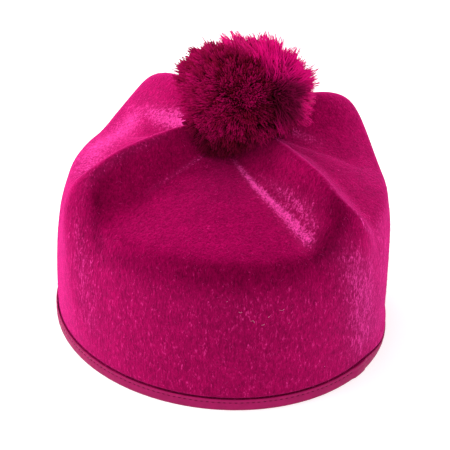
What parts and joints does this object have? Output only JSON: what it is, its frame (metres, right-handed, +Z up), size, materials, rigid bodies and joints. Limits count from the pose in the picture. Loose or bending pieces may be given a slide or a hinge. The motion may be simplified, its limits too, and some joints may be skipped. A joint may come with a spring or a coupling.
{
  "type": "biretta",
  "caption": "Brimless moulded felt cap with raised ridges that meet under a yarn pompon, rounded horns and a ribbon-bound hem, to be worn on the head.",
  "frame": {"origin": "below the middle of the whole part's box, in the plane of the hem's lower edge", "axes": "+Z up out of the crown, +Y to the back along the head opening's long axis, -Y towards the wearer's face"},
  "size_m": [0.183, 0.1986, 0.1632],
  "materials": {
    "velour_felt": "napped velour felt",
    "satin_ribbon": "satin ribbon",
    "yarn": "cut yarn pile"
  },
  "bodies": {
    "root": {"felt_cap": "velour_felt", "hem_binding": "satin_ribbon", "pompon": "yarn"}
  },
  "joints": []
}
